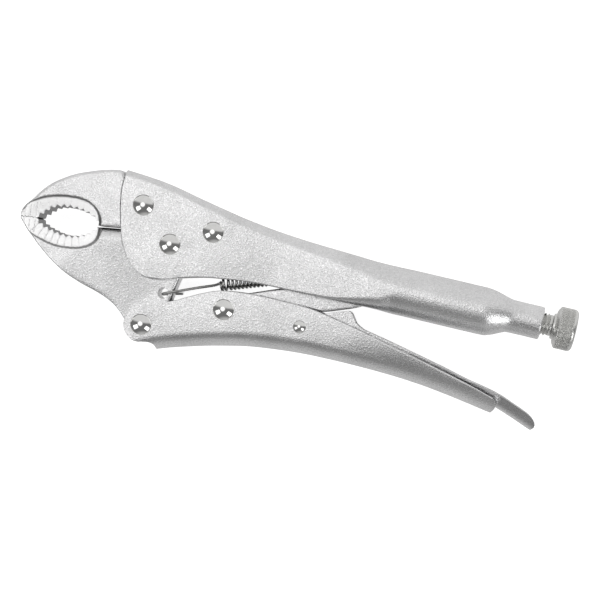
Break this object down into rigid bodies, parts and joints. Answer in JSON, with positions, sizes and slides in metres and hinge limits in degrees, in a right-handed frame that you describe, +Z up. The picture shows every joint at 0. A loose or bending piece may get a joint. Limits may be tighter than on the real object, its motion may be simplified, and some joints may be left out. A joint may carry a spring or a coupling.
{
  "type": "locking pliers",
  "caption": "Curved-jaw locking pliers: toggle-linked jaws and sheet handles, release lever, tension spring and a knurled adjusting screw.",
  "frame": {"origin": "centre of the tool's outline on the surface it lies on, tool on its side", "axes": "+X along the adjusting screw from the jaws to the knurled knob, +Y from the lower handle to the upper handle, +Z up through the tool's thickness"},
  "size_m": [0.2489, 0.0743, 0.0209],
  "materials": {
    "satin_nickel": "pearl-blasted nickel plating on pressed steel sheet",
    "forged_nickel": "pearl-blasted nickel plating on forged steel, ground bright at the bevels and teeth",
    "polished_rivet": "mirror-polished",
    "spring_steel": "dark oiled wire",
    "bright_zinc": "bright plated, knurled on the knob"
  },
  "bodies": {
    "frame": {"upper_handle": "satin_nickel", "fixed_jaw": "forged_nickel", "fixed_jaw_rivet_front": "polished_rivet", "fixed_jaw_rivet_rear": "polished_rivet", "jaw_pivot_rivet": "polished_rivet"},
    "moving_jaw": {"lower_jaw": "forged_nickel"},
    "hand_lever": {"lower_handle": "satin_nickel", "handle_pivot_rivet": "polished_rivet", "link_pivot_rivet": "polished_rivet", "lever_rivet": "polished_rivet"},
    "link": {"toggle_link": "forged_nickel"},
    "release": {"release_lever": "satin_nickel"},
    "spring": {"tension_spring": "spring_steel"},
    "screw": {"adjusting_screw": "bright_zinc"},
    "knob": {"screw_knob": "bright_zinc"}
  },
  "joints": [
    {"name": "jaw_hinge", "type": "hinge", "parent": "frame", "child": "moving_jaw", "pos_m": [-0.0559, 0.00945, 0.01045], "axis": [0, 0, 1], "range_deg": [0, 20]},
    {"name": "handle_hinge", "type": "hinge", "parent": "moving_jaw", "child": "hand_lever", "pos_m": [-0.0604, -0.02775, 0.01045], "axis": [0, 0, -1], "range_deg": [0, 61.5]},
    {"name": "link_hinge", "type": "hinge", "parent": "hand_lever", "child": "link", "pos_m": [-0.0262, -0.01305, 0.01045], "axis": [0, 0, 1], "range_deg": [0, 67]},
    {"name": "lever_hinge", "type": "hinge", "parent": "hand_lever", "child": "release", "pos_m": [0.008, -0.01265, 0.01045], "axis": [0, 0, 1], "range_deg": [0, 5]},
    {"name": "spring_swing", "type": "hinge", "parent": "frame", "child": "spring", "pos_m": [0.0101, 0.01185, 0.01045], "axis": [0, 0, 1], "range_deg": [0, 1], "deforming": ["tension_spring"]},
    {"name": "knob_turn", "type": "hinge", "parent": "screw", "child": "knob", "pos_m": [0.1143, 0.0129, 0.01045], "axis": [1, 0, 0], "range_deg": [0, 2900]},
    {"name": "screw_slide", "type": "slide", "parent": "frame", "child": "screw", "axis": [1, 0, 0], "range_m": [0, 0.012]}
  ],
  "couplings": [
    {"joint": "handle_hinge", "follows": "jaw_hinge", "ratio": 3.05},
    {"joint": "link_hinge", "follows": "jaw_hinge", "ratio": 3.325},
    {"joint": "spring_swing", "follows": "jaw_hinge", "ratio": 0.04},
    {"joint": "knob_turn", "follows": "screw_slide", "rad_per_m": 4188.8}
  ]
}
